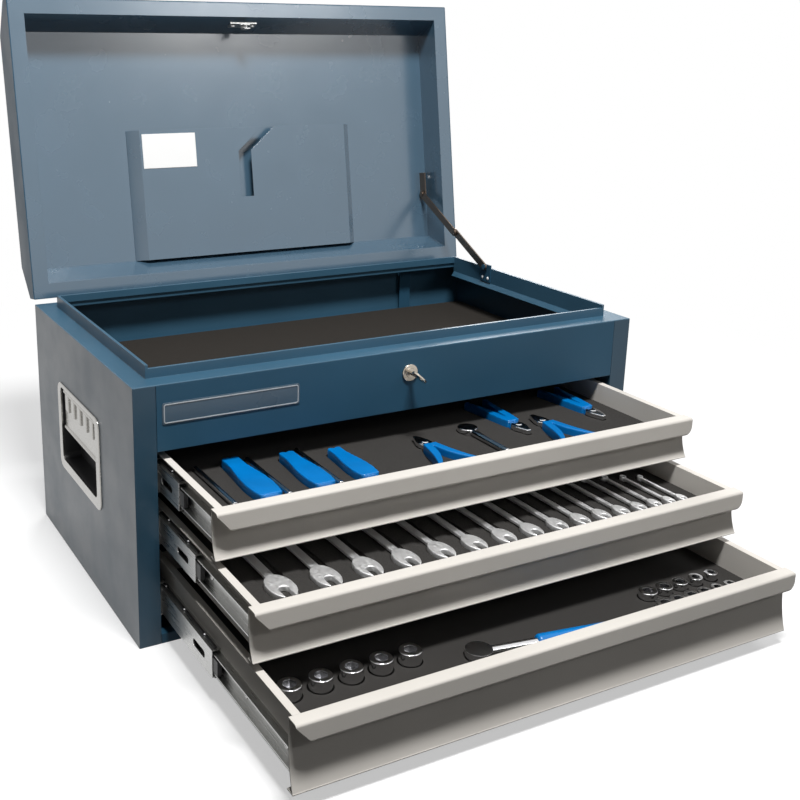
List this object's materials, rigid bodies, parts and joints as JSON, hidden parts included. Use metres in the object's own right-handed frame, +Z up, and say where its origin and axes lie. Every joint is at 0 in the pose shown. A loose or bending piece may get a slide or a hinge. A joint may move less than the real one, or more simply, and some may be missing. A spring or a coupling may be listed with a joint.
{
  "type": "portable tool box with drawers",
  "caption": "Portable steel tool box with an open top tray under a stayed lid, drawers on ball slides with foam inlays and hand tools, a cam lock and recessed swing handles.",
  "frame": {"origin": "middle of the underside of the base, on the surface that the box stands on", "axes": "+X to the box's right seen from its front, +Y to its back, +Z up"},
  "size_m": [0.724, 0.8769, 0.7362],
  "materials": {
    "blue_paint": "semi-gloss",
    "drawer_paint": "satin",
    "zinc_steel": "satin",
    "stay_steel": "satin",
    "bright_chrome": "polished",
    "black_plastic": "matte",
    "grip_blue": "gloss",
    "foam": "matte",
    "plate_print": "satin"
  },
  "bodies": {
    "cabinet": {"left_side_panel": "blue_paint", "right_side_panel": "blue_paint", "back_panel": "blue_paint", "base_pan": "blue_paint", "front_fascia": "blue_paint", "top_rim_frame": "blue_paint", "tray_floor": "blue_paint", "tray_liner": "foam", "name_plate": "plate_print", "slide_uprights": "zinc_steel", "slide_outer_rails": "zinc_steel", "handle_bezels": "bright_chrome", "handle_cups": "black_plastic", "handle_pins": "zinc_steel", "lock_barrel": "bright_chrome", "lock_nut": "zinc_steel", "hinge_cabinet_leaf": "zinc_steel", "hinge_pin": "zinc_steel", "stay_cabinet_bracket": "blue_paint", "lock_bar_spring": "zinc_steel"},
    "lid": {"lid_shell": "blue_paint", "lid_rim_frame": "blue_paint", "lid_inner_panel": "blue_paint", "document_pocket": "blue_paint", "label_plate": "plate_print", "lid_catch": "zinc_steel", "hinge_lid_leaf": "zinc_steel", "stay_lid_bracket": "stay_steel"},
    "stay_lower": {"stay_lower_arm": "stay_steel"},
    "stay_upper": {"stay_upper_arm": "stay_steel"},
    "lock_core": {"lock_cylinder": "bright_chrome", "lock_key": "bright_chrome", "lock_cam": "zinc_steel"},
    "left_grip": {"left_handle_grip": "bright_chrome"},
    "right_grip": {"right_handle_grip": "bright_chrome"},
    "bottom_slide_travel": {"bottom_slide_middle": "zinc_steel", "bottom_slide_cages": "zinc_steel"},
    "middle_slide_travel": {"middle_slide_middle": "zinc_steel", "middle_slide_cages": "zinc_steel"},
    "top_slide_travel": {"top_slide_middle": "zinc_steel", "top_slide_cages": "zinc_steel"},
    "bottom_drawer": {"bottom_drawer_tray": "drawer_paint", "bottom_drawer_front": "drawer_paint", "bottom_slide_inner": "zinc_steel", "bottom_drawer_foam": "foam", "bottom_tray_sockets": "bright_chrome", "bottom_tray_ratchet_grip": "grip_blue"},
    "middle_drawer": {"middle_drawer_tray": "drawer_paint", "middle_drawer_front": "drawer_paint", "middle_slide_inner": "zinc_steel", "middle_drawer_foam": "foam", "middle_tray_spanners": "bright_chrome"},
    "top_drawer": {"top_drawer_tray": "drawer_paint", "top_drawer_front": "drawer_paint", "top_slide_inner": "zinc_steel", "top_drawer_foam": "foam", "top_tray_tool_steel": "bright_chrome", "top_tray_tool_grips": "grip_blue"},
    "lock_bar": {"drawer_lock_bar": "blue_paint"}
  },
  "joints": [
    {"name": "lid_hinge", "type": "hinge", "parent": "cabinet", "child": "lid", "pos_m": [0, 0.2114, 0.3224], "axis": [1, 0, 0], "range_deg": [0, 99.4]},
    {"name": "stay_lower_pivot", "type": "hinge", "parent": "cabinet", "child": "stay_lower", "pos_m": [0.327, 0.0889, 0.3372], "axis": [1, 0, 0], "range_deg": [0, 168.2]},
    {"name": "stay_upper_pivot", "type": "hinge", "parent": "lid", "child": "stay_upper", "pos_m": [0.3246, 0.27254, 0.42844], "axis": [1, 0, 0], "range_deg": [-98.2, 0]},
    {"name": "lock_turn", "type": "hinge", "parent": "cabinet", "child": "lock_core", "pos_m": [0, -0.208, 0.29], "axis": [0, 1, 0], "range_deg": [0, 90]},
    {"name": "left_grip_hinge", "type": "hinge", "parent": "cabinet", "child": "left_grip", "pos_m": [-0.3565, 0.01, 0.23], "axis": [0, 1, 0], "range_deg": [0, 90]},
    {"name": "right_grip_hinge", "type": "hinge", "parent": "cabinet", "child": "right_grip", "pos_m": [0.3565, 0.01, 0.23], "axis": [0, -1, 0], "range_deg": [0, 90]},
    {"name": "bottom_drawer_slide", "type": "slide", "parent": "cabinet", "child": "bottom_drawer", "axis": [0, -1, 0], "range_m": [-0.339, 0.036]},
    {"name": "middle_drawer_slide", "type": "slide", "parent": "cabinet", "child": "middle_drawer", "axis": [0, -1, 0], "range_m": [-0.251, 0.124]},
    {"name": "top_drawer_slide", "type": "slide", "parent": "cabinet", "child": "top_drawer", "axis": [0, -1, 0], "range_m": [-0.16, 0.215]},
    {"name": "bottom_slide_travel_run", "type": "slide", "parent": "cabinet", "child": "bottom_slide_travel", "axis": [0, -1, 0], "range_m": [-0.1695, 0.018]},
    {"name": "middle_slide_travel_run", "type": "slide", "parent": "cabinet", "child": "middle_slide_travel", "axis": [0, -1, 0], "range_m": [-0.1255, 0.062]},
    {"name": "top_slide_travel_run", "type": "slide", "parent": "cabinet", "child": "top_slide_travel", "axis": [0, -1, 0], "range_m": [-0.08, 0.1075]},
    {"name": "lock_bar_press", "type": "slide", "parent": "cabinet", "child": "lock_bar", "axis": [0, 0, -1], "range_m": [0, 0.008], "stiffness_N_per_m": 60, "springref_m": -0.02, "deforming": ["lock_bar_spring"]}
  ],
  "couplings": [
    {"joint": "stay_lower_pivot", "follows": "lid_hinge", "ratio": 1.6911},
    {"joint": "stay_upper_pivot", "follows": "lid_hinge", "ratio": -0.98749},
    {"joint": "lock_bar_press", "follows": "lid_hinge", "m_per_rad": 0.0046},
    {"joint": "bottom_slide_travel_run", "follows": "bottom_drawer_slide", "ratio": 0.5},
    {"joint": "middle_slide_travel_run", "follows": "middle_drawer_slide", "ratio": 0.5},
    {"joint": "top_slide_travel_run", "follows": "top_drawer_slide", "ratio": 0.5}
  ]
}
